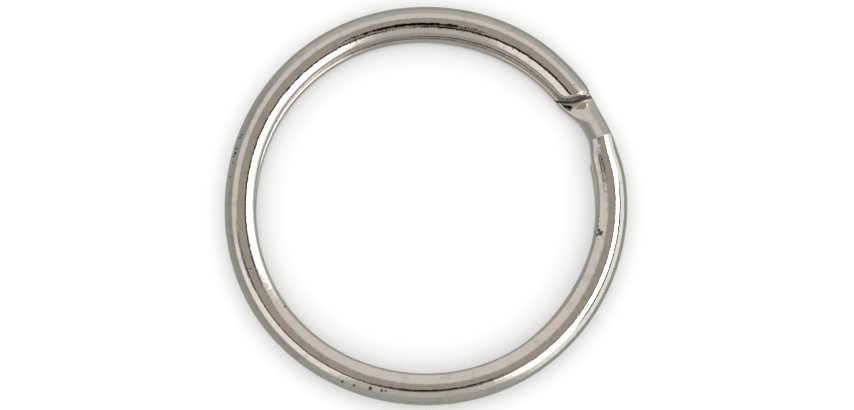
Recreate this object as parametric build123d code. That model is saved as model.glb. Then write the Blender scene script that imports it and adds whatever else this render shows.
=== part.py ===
"""A split ring: one piece of spring wire, pressed half-round and wound in two turns.

The ring lies flat, with its axis on +Z, its middle over the origin and its lower crown on z = 0.
The two turns lie flat to flat, each with its crown outwards, and a hairline seam runs between them.
Angles are about +Z, in degrees, counter-clockwise from +X. The upper turn passes into the lower one
through a short jog: there the wire narrows to a neck, and both its faces slope down, one after the
other. The free end of the upper turn stops just after the jog, and that of the lower turn before it.
"""

import os
from math import atan2, cos, degrees, pi, radians, sin

from build123d import *

# The ring
outer_diameter = 30.0
wire_width = 2.2  # one turn, from the outside of the ring to the eye
turn_height = 1.08  # one turn, from its flat to its crown
seam_gap = 0.04  # air between the two flats

# The half-round section
seam_round = 0.30  # between the flat and the side
side_height = 0.08  # the straight part of the side
shoulder_radius = 0.48  # between the side and the crown

# The jog
jog_angle = 23.75  # its middle
neck_angle = 6.3  # the neck, from the crease on top to the crease below
ramp_angle = 12.4  # the slope of each face, from its crease to the level of the seam
taper_angle = 10.6  # from the neck to the full width
neck_width = 1.58
neck_side_height = 0.64
neck_shoulder_radius = 0.30
sections_per_span = 4

# How far the lower turn lies inside the upper one
lower_inset = 0.04  # over the half away from the jog
lower_pull = 0.36  # further in, where it leaves the jog
lower_joint_angle = 230.0  # where its tighter arc passes into the wider one

# The free ends
end_clearance = 0.3  # in degrees, from the foot of the ramp to the nearest point of a free end
upper_end_skew = 3.7  # in degrees, how far its inner corner stands back from its outer one
upper_end_corner = 0.70  # taken off its inner corner
upper_end_round = 0.18  # along the edges of the cut
lower_end_skew = 0.4
lower_end_corner = 0.0
lower_end_round = 0.12
end_length_angle = 25.0  # the stretch of a turn that is cut to its end's outline

# Worked out from these
total_height = 2 * turn_height + seam_gap
upper_flat = turn_height + seam_gap
lower_flat = turn_height
coil_radius = (outer_diameter - wire_width) / 2
crown_rise = turn_height - seam_round - side_height
neck_start = jog_angle - neck_angle / 2
neck_end = jog_angle + neck_angle / 2
ramp_slope = (total_height - lower_flat) / ramp_angle
jog_stations = [
    neck_start - taper_angle,
    neck_end - ramp_angle,
    neck_start,
    neck_end,
    neck_start + ramp_angle,
    neck_end + taper_angle,
]
jog_from, jog_to = jog_stations[0], jog_stations[-1]
neck_height = turn_height + ramp_slope * (ramp_angle - neck_angle)
upper_end_angle = neck_start + ramp_angle + end_clearance
lower_end_angle = neck_end - ramp_angle - end_clearance


def polar(radius, angle):
    """The point at this radius and angle about the ring's axis."""
    return Vector(radius * cos(radians(angle)), radius * sin(radians(angle)))


def between(share, first, last):
    """The value part of the way from the first to the last, level at both ends of the way."""
    share = min(max(share, 0), 1)
    return first + (last - first) * (1 - cos(pi * share)) / 2


def cap(half_width, side_end, rise, shoulder, up):
    """One face of the wire, from its right side to its left one: a shoulder, a crown and a shoulder.

    The crown is the arc that is tangent to both shoulders, or a line where it rises no higher than
    they do. The face looks up where up is 1, and down where it is -1.
    """
    flat = rise - shoulder < 1e-9
    lean = pi / 2
    if not flat:
        crown = (half_width**2 - 2 * half_width * shoulder + rise**2) / (2 * (rise - shoulder))
        lean = atan2(crown - rise, half_width - shoulder)

    def on_shoulder(angle, side):
        across = half_width - shoulder + shoulder * cos(angle)
        return Vector(side * across, side_end + up * shoulder * sin(angle))

    right = ThreePointArc(on_shoulder(0, 1), on_shoulder(lean / 2, 1), on_shoulder(lean, 1))
    left = ThreePointArc(on_shoulder(lean, -1), on_shoulder(lean / 2, -1), on_shoulder(0, -1))
    if flat:
        return [right, Line(on_shoulder(lean, 1), on_shoulder(lean, -1)), left]
    middle = Vector(0, side_end + up * rise)
    return [right, ThreePointArc(on_shoulder(lean, 1), middle, on_shoulder(lean, -1)), left]


def section(width, top, bottom, top_cap, bottom_cap):
    """An outline of the wire. Each cap is how far it rises above the side, and its shoulder radius."""
    half = width / 2
    side_top = top - top_cap[0]
    side_bottom = bottom + bottom_cap[0]
    right = Line((half, side_bottom), (half, side_top))
    left = Line((-half, side_top), (-half, side_bottom))
    upper = cap(half, side_top, *top_cap, up=1)
    lower = cap(half, side_bottom, *bottom_cap, up=-1)
    return make_face([right, *upper, left, *lower])


def across_wire(outline, centre, radius, angle):
    """The outline stood upright across the wire, at this radius and angle about the centre."""
    outwards = polar(1, angle)
    place = Plane(centre + polar(radius, angle), x_dir=outwards, z_dir=(outwards.Y, -outwards.X, 0))
    return place * outline


def turn_arc(outline, centre, radius, start, end):
    """A stretch of one turn: the outline turned about the centre, from one angle to the other."""
    face = across_wire(outline, centre, radius, start)
    return revolve(face, axis=Axis(centre, (0, 0, 1)), revolution_arc=end - start)


def free_end(outline, radius, angle, way, cuts, rim_round):
    """The last stretch of a turn, cut off upright along lines in plan, with round edges at the cuts.

    Each cut is a pair of points, the outer one first. The turn runs counter-clockwise from its end
    where way is 1, and clockwise where it is -1.
    """
    far, near = angle + way * end_length_angle, angle - way * end_length_angle / 10
    end = turn_arc(outline, Vector(), radius, min(far, near), max(far, near))
    planes = []
    for first, last in cuts:
        along = last - first
        planes.append(Plane(first, x_dir=along, z_dir=along.cross(Vector(0, 0, way))))
        end = split(end, bisect_by=planes[-1], keep=Keep.TOP)
    rim = set()
    for plane in planes:
        on_plane = [f for f in end.faces() if abs(plane.to_local_coords(f.center()).Z) < 1e-6]
        rim.update(edge for face in on_plane for edge in face.edges())
    return fillet(rim, rim_round)


def end_cuts(radius, angle, way, skew, corner):
    """The cuts of a free end: one slanting across the wire, and one that takes its inner corner off."""
    inside = radius - wire_width / 2
    outer = polar(radius + wire_width / 2, angle)
    inner = polar(inside, angle + way * skew)
    if corner == 0:
        return [(outer, inner)]
    corner_from = inner + (outer - inner).normalized() * corner
    corner_to = polar(inside, angle + way * (skew + degrees(corner / inside)))
    return [(outer, inner), (corner_from, corner_to)]


def jog_cap(angle, before, in_neck, after):
    """A cap's shape at an angle in the jog, on its way from one shape to the neck's and to the next."""
    if angle < jog_angle:
        share = (neck_start - angle) / (ramp_angle - neck_angle)
        return [between(share, neck, end) for neck, end in zip(in_neck, before)]
    share = (angle - neck_end) / (ramp_angle - neck_angle)
    return [between(share, neck, end) for neck, end in zip(in_neck, after)]


def jog_section(angle):
    """The wire's outline at an angle in the jog, in its place."""
    from_neck = max(neck_start - angle, angle - neck_end) / taper_angle
    width = between(from_neck, neck_width, wire_width)
    top_fall = min(max(angle - neck_start, 0), ramp_angle)
    bottom_fall = min(max(angle - neck_end + ramp_angle, 0), ramp_angle)
    neck_cap = (neck_height - neck_side_height) / 2, neck_shoulder_radius
    outline = section(
        width,
        total_height - ramp_slope * top_fall,
        upper_flat - ramp_slope * bottom_fall,
        jog_cap(angle, crown_cap, neck_cap, flat_cap),
        jog_cap(angle, flat_cap, neck_cap, crown_cap),
    )
    inwards = (angle - neck_end) / taper_angle
    centre = lower_centre * between(inwards, 0, 1)
    radius = between(inwards, coil_radius, lower_tight_radius)
    return across_wire(outline, centre, radius, angle)


def jog_span(start, end):
    """The jog's stretch between two stations. A crease stays sharp where two spans meet."""
    steps = sections_per_span - 1
    return loft([jog_section(start + (end - start) * step / steps) for step in range(steps + 1)])


def upper_turn():
    """The turn that lies on top, from its free end to the jog."""
    tip, start = upper_end_angle, upper_end_angle + end_length_angle
    cuts = end_cuts(coil_radius, tip, 1, upper_end_skew, upper_end_corner)
    end = free_end(upper_section, coil_radius, tip, 1, cuts, upper_end_round)
    return [end, turn_arc(upper_section, Vector(), coil_radius, start, 360 + jog_from)]


def lower_turn():
    """The turn underneath, from the jog to its free end, in a tighter arc and a wider one."""
    tip = 360 + lower_end_angle
    tail = tip - end_length_angle
    tight = turn_arc(lower_section, lower_centre, lower_tight_radius, jog_to, lower_joint_angle)
    wide = turn_arc(lower_section, Vector(), lower_wide_radius, lower_joint_angle, tail)
    cuts = end_cuts(lower_wide_radius, tip, -1, lower_end_skew, lower_end_corner)
    end = free_end(lower_section, lower_wide_radius, tip, -1, cuts, lower_end_round)
    return [tight, wide, end]


crown_cap = crown_rise, shoulder_radius
flat_cap = seam_round, seam_round
upper_section = section(wire_width, total_height, upper_flat, crown_cap, flat_cap)
lower_section = section(wire_width, lower_flat, 0, flat_cap, crown_cap)
lower_wide_radius = coil_radius - lower_inset
lower_tight_radius = lower_wide_radius - lower_pull / 2
lower_centre = polar(lower_pull / 2, lower_joint_angle)

jog = [jog_span(start, end) for start, end in zip(jog_stations, jog_stations[1:])]
first, *others = [*upper_turn(), *jog, *lower_turn()]
split_ring = first.fuse(*others)

os.makedirs("parts", exist_ok=True)
export_step(split_ring, "parts/split_ring.step")
print("split_ring", split_ring.is_valid, len(split_ring.solids()), round(split_ring.volume, 3))
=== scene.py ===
"""A nickel-plated split ring lying on a pale table: one half-round wire in two turns.

Lengths in the ring's own code are millimetres, and become metres when the mesh is written. Angles along
the wire are degrees about the ring's axis, counter-clockwise from +X, and run on past 360: the upper turn
starts at its free end, passes through the jog after a full turn, and becomes the lower turn.
"""
import math

import bpy
import numpy as np
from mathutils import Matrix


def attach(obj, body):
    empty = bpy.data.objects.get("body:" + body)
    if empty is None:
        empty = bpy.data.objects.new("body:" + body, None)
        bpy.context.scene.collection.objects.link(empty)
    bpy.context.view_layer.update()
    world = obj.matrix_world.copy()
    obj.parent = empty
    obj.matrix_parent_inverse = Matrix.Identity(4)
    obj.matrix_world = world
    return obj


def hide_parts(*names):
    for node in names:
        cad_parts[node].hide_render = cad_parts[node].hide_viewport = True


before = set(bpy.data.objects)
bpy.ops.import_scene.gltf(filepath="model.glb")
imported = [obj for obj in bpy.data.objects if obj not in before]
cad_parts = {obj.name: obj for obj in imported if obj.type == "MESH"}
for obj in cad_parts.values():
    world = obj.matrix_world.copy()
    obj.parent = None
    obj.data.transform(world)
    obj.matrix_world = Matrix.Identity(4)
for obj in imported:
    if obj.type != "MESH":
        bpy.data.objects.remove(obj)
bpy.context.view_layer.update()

# The wire's section, in millimetres
WIDTH = 2.2
TURN_HEIGHT = 1.08
SEAM_GAP = 0.04
SEAM_ROUND = 0.16
OUTSIDE = 15.0
UPPER_FLAT = TURN_HEIGHT + SEAM_GAP
TOTAL = 2 * TURN_HEIGHT + SEAM_GAP
PEAK_OFFSET = 0.06  # the crown's peak stands this far outside the middle
CROWN = {1: (0.80, 0.48), -1: (0.46, 0.30)}  # rise above the side, and shoulder: outer half, inner half

# The jog, after one full turn
JOG = 360 + 23.75
NECK_FROM, NECK_TO = JOG - 3.15, JOG + 3.15
RAMP = 12.4
NECK_SIDE = 0.64
NECK_SHOULDER = 0.30
SLOPE = (TOTAL - TURN_HEIGHT) / RAMP
NECK_HEIGHT = TURN_HEIGHT + SLOPE * (RAMP - (NECK_TO - NECK_FROM))

# The free ends
UPPER_TIP, LOWER_TIP = 33.3, 720 + 14.2

# Small pits in the plating on the upper turn: azimuth in degrees, radius and size in millimetres
PITS = [
    (350.6, 12.98, 0.13), (349.6, 13.12, 0.16), (348.9, 12.92, 0.09), (350.2, 13.24, 0.08), (351.9, 12.86, 0.07),
    (353.6, 12.84, 0.06), (355.2, 12.86, 0.05), (347.6, 13.05, 0.05), (159.6, 14.58, 0.09), (160.6, 14.60, 0.09),
    (164.0, 14.60, 0.10), (165.4, 14.58, 0.12), (166.4, 14.62, 0.08), (168.4, 14.56, 0.06), (172.6, 14.57, 0.08),
    (245.5, 14.60, 0.10), (249.0, 14.52, 0.09), (253.8, 14.36, 0.15), (257.2, 14.30, 0.11), (258.3, 14.27, 0.09),
    (217.0, 12.92, 0.08), (135.6, 13.40, 0.04), (137.4, 13.35, 0.04), (220.6, 13.75, 0.05), (190.0, 14.60, 0.05),
    (60.5, 13.30, 0.05), (84.0, 12.62, 0.05), (38.6, 14.20, 0.06),
]
SCRATCH = 201.0


def smooth(share):
    """A step from 0 to 1 as the share goes from 0 to 1, level at both ends: 3 x^2 - 2 x^3."""
    share = np.clip(share, 0, 1)
    return share * share * (3 - 2 * share)


def along(angle, *knots):
    """A smooth run through (angle, value) knots: level at each knot, and a smooth step between two."""
    knots = np.array(knots, float)
    value = np.full(np.shape(angle), knots[0, 1])
    for (start, low), (stop, high) in zip(knots, knots[1:]):
        value = value + (high - low) * smooth((angle - start) / (stop - start))
    return value


def out_of_round(angle):
    """How far the whole ring strays from a circle."""
    return along(angle % 360, (0, -0.01), (52, 0.02), (90, -0.09), (125, -0.03), (172, -0.13), (217, 0.08), (262, -0.04),
                 (300, 0.02), (337, -0.02), (360, -0.01))


def outer_edge(angle):
    """The radius of the wire's outer side. It draws in at the neck and where the lower turn sets out."""
    return out_of_round(angle) + along(angle, (UPPER_TIP, -0.02), (UPPER_TIP + 40, 0.06), (150, 0), (366, 0),
                 (381, -0.19), (388, -0.19), (394, -0.07), (404, -0.24), (425, -0.36), (545, -0.04),
                 (650, -0.04), (685, -0.15), (710, -0.04), (734, -0.10)) + OUTSIDE


def inner_edge(angle):
    """The radius of the wire's inner side."""
    return out_of_round(angle) + along(angle, (UPPER_TIP, 0), (UPPER_TIP + 40, 0), (150, -0.02), (210, -0.10),
                 (320, -0.10), (374, -0.02), (382, 0.28), (386, 0.28), (397, -0.30), (425, -0.38), (470, -0.25),
                 (545, -0.08), (575, -0.18), (650, -0.12), (685, -0.20), (710, -0.08), (734, -0.16)
                 ) + OUTSIDE - WIDTH


def cap_at(angle, before, after):
    """A cap's rise and shoulder radius, from one shape to the neck's and on to the other."""
    neck = ((NECK_HEIGHT - NECK_SIDE) / 2, NECK_SHOULDER)
    first, last = NECK_TO - RAMP, NECK_FROM + RAMP + 6
    return [along(angle, (first, b), (NECK_FROM, n), (NECK_TO, n), (last, a))
            for b, n, a in zip(before, neck, after)]


def wire_section(angle, columns):
    """The wire's outline at each angle, as (rows, columns) arrays: across, height, and outward normal.

    Each cap is a crown between two shoulder arcs. Its peak stands off the middle, towards the outer side,
    and the crown is one arc on each side of the peak, tangent to the shoulder there. With w from the peak
    to the side, rise r and shoulder s, the arc's curvature is 2 (r - s) / (w^2 - 2 w s + r^2).
    """
    half = (outer_edge(angle) - inner_edge(angle)) / 2
    top = TOTAL - SLOPE * np.clip(angle - NECK_FROM, 0, RAMP)
    bottom = UPPER_FLAT - SLOPE * np.clip(angle - NECK_TO + RAMP, 0, RAMP)
    flat = SEAM_ROUND, SEAM_ROUND
    parts = []
    for way, peak in ((1, top), (-1, bottom)):
        for side in (1, -1):
            shapes = (CROWN[side], flat)[::way]
            rise, shoulder = (value[:, None] for value in cap_at(angle, *shapes))
            wide = half[:, None] - side * PEAK_OFFSET
            bend = 2 * (rise - shoulder) / (wide**2 - 2 * wide * shoulder + rise**2)
            joint = (wide - shoulder) / (1 - bend * shoulder)
            turn = np.arccos(bend * joint) * columns["shoulder"]
            run = joint * columns["crown"]
            swell = np.sqrt(1 - (bend * run) ** 2)
            x = np.hstack([wide - shoulder + shoulder * np.cos(turn), run]) * side + PEAK_OFFSET
            z = np.hstack([way * (shoulder * np.sin(turn) - rise), -way * bend * run**2 / (1 + swell)])
            nx = np.hstack([np.cos(turn), bend * run]) * side
            nz = np.hstack([np.sin(turn), swell]) * way
            order = slice(None) if side * way > 0 else slice(None, None, -1)
            parts.append([part[:, order] for part in (x, z + peak[:, None], nx, nz)])
    parts[2], parts[3] = parts[3], parts[2]
    return [np.hstack(pieces) for pieces in zip(*parts)]


def end_curve(across, half, slant, outer_corner, inner_corner):
    """How far a free end stands back at each place across the wire, and its steepness there.

    In plan the end is a straight cut, which stands back by the slant at the inner side, joined to each
    side by an arc of the corner's radius.
    """
    k = slant / (2 * half)
    long = math.sqrt(1 + k * k)
    back = k * (half - across)
    steep = np.full(across.shape, -k)
    outer_x = half - outer_corner
    inner_x = inner_corner - half
    outer_s = (k + long) * outer_corner
    inner_s = k * (half - inner_x) + inner_corner * long
    for centre, radius, level, mask in (
        (outer_x, outer_corner, outer_s, across > outer_x - outer_corner * k / long),
        (inner_x, inner_corner, inner_s, across < inner_x - inner_corner * k / long),
    ):
        off = np.clip(across - centre, -radius, radius)
        drop = np.sqrt(np.maximum(radius**2 - off**2, 1e-12))
        back = np.where(mask, level - drop, back)
        steep = np.where(mask, off / drop, steep)
    return back, steep


def free_end(tip, way, columns, slant, outer_corner, inner_corner, rim):
    """The rows of a free end, from the middle of its face, over its round rim, to the plain wire.

    Row by row, the outline grows from a point to the full section less the rim, then swings out and back
    over a quarter circle, and last straightens from the end's curve to a plain cross-section.
    """
    x, z, nx, nz = [part[0] for part in wire_section(np.array([tip + way * 4.0]), columns)]
    half = x.max()
    middle = (z.max() + z.min()) / 2
    run_out = 3.6
    rows = []
    for share in np.linspace(0, 1, 12)[1:]:
        px, pz = (x - nx * rim) * share, middle + (z - nz * rim - middle) * share
        rows.append((px, pz, end_curve(px, half, slant, outer_corner, inner_corner)[0]))
    for swing in np.linspace(math.pi / 2, 0, 9)[1:]:
        inset = rim * (1 - math.cos(swing))
        px, pz = x - nx * inset, z - nz * inset
        back, steep = end_curve(px, half, slant, outer_corner, inner_corner)
        rows.append((px, pz, back + rim * (1 - math.sin(swing)) * np.minimum(np.sqrt(1 + steep**2), 2.5)))
    last = rows[-1][2]
    for share in np.linspace(0, 1, 14)[1:]:
        rows.append((x, z, last + (run_out - last) * share))
    px, pz, back = (np.array(part) for part in zip(*rows))
    angle = tip + way * np.degrees(back / (OUTSIDE - WIDTH / 2))
    return angle, px, pz


def wire_mesh():
    """The whole wire as one closed tube of quads, with a fan of triangles at the middle of each end."""
    columns = {
        "shoulder": np.linspace(0, 1, 9),
        "crown": np.linspace(0.88, 0.06, 8),
    }
    upper = free_end(UPPER_TIP, 1, columns, 0.85, 0.35, 0.90, 0.22)
    lower = free_end(LOWER_TIP, -1, columns, 0.10, 0.25, 0.15, 0.12)
    body_from, body_to = upper[0][-1].mean(), lower[0][-1].mean()
    stops = [body_from, NECK_TO - RAMP - 8, NECK_FROM - 0.3, NECK_FROM + 0.3, NECK_TO - 0.3, NECK_TO + 0.3,
             NECK_FROM + RAMP + 8, body_to]
    steps = [1.0, 0.3, 0.05, 0.3, 0.05, 0.3, 1.0]
    angle = np.concatenate([np.linspace(a, b, max(int(round((b - a) / step)), 2), endpoint=False)
                            for a, b, step in zip(stops, stops[1:], steps)])[1:]
    x, z, _, _ = wire_section(angle, columns)
    angle = np.repeat(angle[:, None], x.shape[1], axis=1)
    angle, x, z = (np.vstack([first, plain, last[::-1]])
                   for first, plain, last in zip(upper, (angle, x, z), lower))
    radius = (outer_edge(angle) + inner_edge(angle)) / 2 + x
    grid = np.stack([radius * np.cos(np.radians(angle)), radius * np.sin(np.radians(angle)), z], axis=-1)
    rows, across = grid.shape[:2]
    poles = np.array([grid[0].mean(axis=0), grid[-1].mean(axis=0)])
    points = np.vstack([grid.reshape(-1, 3), poles]) / 1000
    here = np.arange(rows * across).reshape(rows, across)
    after = np.roll(here, -1, axis=1)
    quads = np.stack([here[:-1], here[1:], after[1:], after[:-1]], axis=-1).reshape(-1, 4)
    first = np.stack([np.full(across, rows * across), here[0], after[0]], axis=-1)
    last = np.stack([np.full(across, rows * across + 1), after[-1], here[-1]], axis=-1)
    return points, [*quads.tolist(), *first.tolist(), *last.tolist()]


def make_piece(name, points, faces):
    """A smooth-shaded object from arrays of points and faces."""
    mesh = bpy.data.meshes.new(name)
    mesh.from_pydata(points.tolist(), [], faces)
    mesh.polygons.foreach_set("use_smooth", np.ones(len(mesh.polygons), bool))
    mesh.update()
    piece = bpy.data.objects.new(name, mesh)
    bpy.context.scene.collection.objects.link(piece)
    return piece


class Term:
    """A shader socket that can be used in Python arithmetic."""

    def __init__(self, shader, socket):
        self.shader, self.socket = shader, socket

    def _math(self, operation, *others):
        return self.shader.node("ShaderNodeMath", {"operation": operation}, [self, *others])

    def __add__(self, other): return self._math("ADD", other)
    def __radd__(self, other): return self._math("ADD", other)
    def __sub__(self, other): return self._math("SUBTRACT", other)
    def __mul__(self, other): return self._math("MULTIPLY", other)
    def __rmul__(self, other): return self._math("MULTIPLY", other)
    def __truediv__(self, other): return self._math("DIVIDE", other)
    def __pow__(self, other): return self._math("POWER", other)
    def __neg__(self): return self._math("MULTIPLY", -1.0)
    def __rsub__(self, other): return self.shader.value_node("SUBTRACT", other, self)
    def __rtruediv__(self, other): return self.shader.value_node("DIVIDE", other, self)
    def least(self, other): return self._math("MINIMUM", other)
    def most(self, other): return self._math("MAXIMUM", other)
    def size(self): return self._math("ABSOLUTE")

    def step(self, low, high):
        """0 below low and 1 above high, with a smooth rise between them, or a fall if low is above high."""
        return self.shader.node(
            "ShaderNodeMapRange", {"interpolation_type": "SMOOTHERSTEP"},
            {"Value": self, "From Min": low, "From Max": high},
        )


class Shader:
    """A node tree that is filled by expressions."""

    def __init__(self, tree):
        self.tree = tree
        tree.nodes.clear()

    def node(self, kind, settings=None, sockets=(), output=0):
        """A new node with its settings made first, then its sockets set or linked. Gives one output."""
        made = self.tree.nodes.new(kind)
        for name, value in (settings or {}).items():
            if name == "stops":
                for stop, (place, colour) in zip(
                    [made.color_ramp.elements[0]]
                    + [made.color_ramp.elements.new(p) for p, _ in value[1:-1]]
                    + [made.color_ramp.elements[-1]], value):
                    stop.position, stop.color = place, colour
            else:
                setattr(made, name, value)
        pairs = sockets.items() if isinstance(sockets, dict) else enumerate(sockets)
        for key, value in pairs:
            if isinstance(value, Term):
                self.tree.links.new(value.socket, made.inputs[key])
            else:
                made.inputs[key].default_value = value
        return Term(self, made.outputs[output]) if len(made.outputs) else None

    def value_node(self, operation, first, second):
        return self.node("ShaderNodeMath", {"operation": operation}, [first, second])

    def mix(self, share, first, second):
        """A colour part of the way from the first to the second."""
        return self.node("ShaderNodeMix", {"data_type": "RGBA"}, {0: share, 6: first, 7: second}, output=2)


def nickel():
    """Bright nickel plating, drawn and tumbled, with small pits and a dull bloom here and there, and painted
    shade in the crevice where the upper turn's free end meets the ramp below it.
    """
    material = bpy.data.materials.new("nickel_plate")
    material.use_nodes = True
    shader = Shader(material.node_tree)
    place = shader.node("ShaderNodeTexCoord", output="Object")
    parts = shader.node("ShaderNodeSeparateXYZ", {}, {"Vector": place})
    x, y, z = [Term(shader, out) * 1000.0 for out in parts.socket.node.outputs]
    grain = shader.node("ShaderNodeTexNoise", {}, {"Vector": place, "Scale": 5200.0, "Detail": 3.0})
    mottle = shader.node("ShaderNodeTexNoise", {}, {"Vector": place, "Scale": 1500.0, "Detail": 4.0})
    cloud = shader.node("ShaderNodeTexNoise", {}, {"Vector": place, "Scale": 260.0, "Detail": 2.0})
    on_top = z.step(1.0, 1.2)
    pits = None
    for azimuth, radius, size in PITS:
        turn = math.radians(azimuth)
        dx, dy = x - radius * math.cos(turn), y - radius * math.sin(turn)
        mark = ((dx * dx + dy * dy) ** 0.5 + (grain - 0.5) * 0.08).step(size * 1.35, size * 0.7)
        pits = mark if pits is None else pits.most(mark)
    pits = pits * on_top
    turn = math.radians(SCRATCH)
    off = y * math.cos(turn) - x * math.sin(turn) + (x * math.cos(turn) + y * math.sin(turn) - 14.0) * 0.35
    reach = (x * math.cos(turn) + y * math.sin(turn) - 13.95).size()
    scratch = off.size().step(0.05, 0.01) * reach.step(0.34, 0.25) * on_top
    bloom = mottle.step(0.50, 0.66) * cloud.step(0.38, 0.58)
    colour = shader.mix(bloom * 0.5, (0.70, 0.64, 0.56, 1), (0.50, 0.50, 0.45, 1))
    colour = shader.mix(scratch * 0.75, colour, (0.16, 0.15, 0.13, 1))
    # Painted shade: a near-black line, with rougher metal, across the foot of the upper turn's free end and the
    # ramp just below it, standing in for the shadow in the crevice between them.
    bearing = shader.value_node("ARCTAN2", y, x) * (180 / math.pi)
    radius = (x * x + y * y) ** 0.5
    inwards = 15.0 - radius
    corner = (inwards - 1.2).most(0.0)
    past_end = bearing - inwards * 1.1 - corner * corner * 1.5
    painted_crevice_shade = (past_end.step(32.3, 32.8) * past_end.step(34.0, 33.5)) * z.step(1.50, 1.38) * z.step(0.8, 1.0)
    colour = shader.mix(painted_crevice_shade * 0.93, colour, (0.03, 0.03, 0.026, 1))
    colour = shader.mix(pits, colour, (0.05, 0.055, 0.045, 1))
    height = grain * 0.000003 + mottle * 0.000008 - pits * 0.000006
    bump = shader.node("ShaderNodeBump", {}, {"Strength": 1.0, "Distance": 1.0, "Height": height})
    skin = shader.node("ShaderNodeBsdfPrincipled", {}, {
        "Base Color": colour, "Metallic": 1 - pits * 0.7, "Normal": bump,
        "Roughness": 0.025 + painted_crevice_shade * 0.3 + bloom * 0.10 + grain.step(0.5, 0.8) * 0.05 + pits * 0.4})
    shader.node("ShaderNodeOutputMaterial", {}, {"Surface": skin})
    return material


def around(shader, direction, azimuth, near, far):
    """1 within the near angle of an azimuth, falling to 0 at the far angle, in degrees of azimuth only."""
    x, y, _ = direction
    turn = math.radians(azimuth)
    flat = (x * x + y * y + 1e-6) ** 0.5
    share = (x * math.cos(turn) + y * math.sin(turn)) / flat
    return share.step(math.cos(math.radians(far)), math.cos(math.radians(near)))


def spot(direction, azimuth, elevation, near, far):
    """1 within the near angle of a direction, falling to 0 at the far angle."""
    x, y, z = direction
    turn, rise = math.radians(azimuth), math.radians(elevation)
    share = x * (math.cos(turn) * math.cos(rise)) + y * (math.sin(turn) * math.cos(rise)) + z * math.sin(rise)
    return share.step(math.cos(math.radians(far)), math.cos(math.radians(near)))


def sky():
    """A soft light tent: a wide lamp to the east, grey walls, and a dull patch overhead with a dark rim.

    Tones are worked out as they look, from 0 to 1 and past it for the lamp, and then turned into light.
    """
    world = bpy.data.worlds.new("studio")
    world.use_nodes = True
    bpy.context.scene.world = world
    shader = Shader(world.node_tree)
    place = shader.node("ShaderNodeTexCoord")
    parts = shader.node("ShaderNodeSeparateXYZ", {}, {"Vector": place})
    direction = [Term(shader, out) for out in parts.socket.node.outputs]
    height = direction[2]

    def blend(share, first, second):
        return share * second + (1 - share) * first

    lamp = around(shader, direction, 352, 33, 58)
    wall = blend(around(shader, direction, 262, 18, 40), 0.74, 0.65)
    wall = blend(around(shader, direction, 208, 24, 36), wall, 0.84)
    wall = blend(lamp, wall, 1.35)
    ground = blend(around(shader, direction, 90, 25, 60), 0.58, 0.64)
    ground = blend(around(shader, direction, 180, 30, 60), ground, 0.53)
    ground = blend(lamp, ground, 0.86)
    tone = blend(height.step(0.52, 0.68), ground, wall)
    tone = blend(height.step(-0.15, -0.6), tone, 0.68)
    patch = spot(direction, 60, 86, 12.5, 18.5)
    tone = blend(patch, tone, 0.55)
    rim = spot(direction, 60, 86, 17.5, 20) - spot(direction, 60, 86, 11.5, 14.5)
    tone = blend(rim * around(shader, direction, 215, 42, 74), tone, 0.12)
    tone = blend(spot(direction, 172, 68, 1.5, 6), tone, 0.42)
    line = spot(direction, 60, 86, 17, 19) - spot(direction, 60, 86, 12, 14.5)
    tone = blend(line * around(shader, direction, 350, 45, 75), tone, 0.20)
    tone = blend(spot(direction, 285, 86, 3, 5.4), tone, 0.05)
    band = height.step(0.53, 0.57) - height.step(0.65, 0.69)
    tone = blend(band * around(shader, direction, 354, 16, 28), tone, 0.06)
    tint = shader.mix(height.step(0.52, 0.68), (0.94, 1.01, 1.03, 1), (1.0, 0.99, 1.03, 1))
    tint = shader.mix(patch, tint, (1.02, 1.0, 0.92, 1))
    light = shader.node("ShaderNodeVectorMath", {"operation": "SCALE"}, {0: tint, "Scale": tone**2.2 * 1.55})
    path = shader.node("ShaderNodeLightPath", output="Is Glossy Ray")
    glow = shader.node("ShaderNodeBackground", {}, {
        "Color": shader.mix(path, (1.2, 1.2, 1.2, 1), light), "Strength": 1.0})
    shader.node("ShaderNodeOutputWorld", {}, {"Surface": glow})


def table():
    """A pale table under the ring; in the ring's reflections it shows instead as a dim grey-green painted glow.
    """
    reach = 2.0
    points = np.array([(-reach, -reach, 0), (reach, -reach, 0), (reach, reach, 0), (-reach, reach, 0)])
    floor = make_piece("table", points, [(0, 1, 2, 3)])
    material = bpy.data.materials.new("table_paper_and_painted_glow")
    material.use_nodes = True
    shader = Shader(material.node_tree)
    paper = shader.node("ShaderNodeBsdfDiffuse", {}, {"Color": (0.93, 0.93, 0.93, 1)})
    # Painted glow: reflections see the table as this dim grey-green emission instead of the lit paper.
    shade = shader.node("ShaderNodeEmission", {}, {"Color": (0.40, 0.435, 0.425, 1), "Strength": 1.0})
    path = shader.node("ShaderNodeLightPath", output="Is Glossy Ray")
    skin = shader.node("ShaderNodeMixShader", {}, [path, paper, shade])
    shader.node("ShaderNodeOutputMaterial", {}, {"Surface": skin})
    floor.data.materials.append(material)


def camera():
    """A long lens almost straight above the ring, leaning a little towards its near side."""
    lens = bpy.data.cameras.new("camera")
    eye = bpy.data.objects.new("camera", lens)
    bpy.context.scene.collection.objects.link(eye)
    lean = math.radians(9.0)
    distance = 0.16
    target = np.array([0.000126, -0.00009, 0.0011])
    eye.location = target + distance * np.array([0, -math.sin(lean), math.cos(lean)])
    eye.rotation_euler = (lean, 0, 0)
    lens.sensor_width = 36.0
    lens.lens = 36.0 * distance / 0.0635
    lens.clip_start = 0.01
    bpy.context.scene.camera = eye


ring = make_piece("wire_ring", *wire_mesh())
ring.data.materials.append(nickel())
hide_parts("split_ring")
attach(ring, "root")
table()
sky()
camera()
bpy.context.scene.view_settings.view_transform = "Standard"
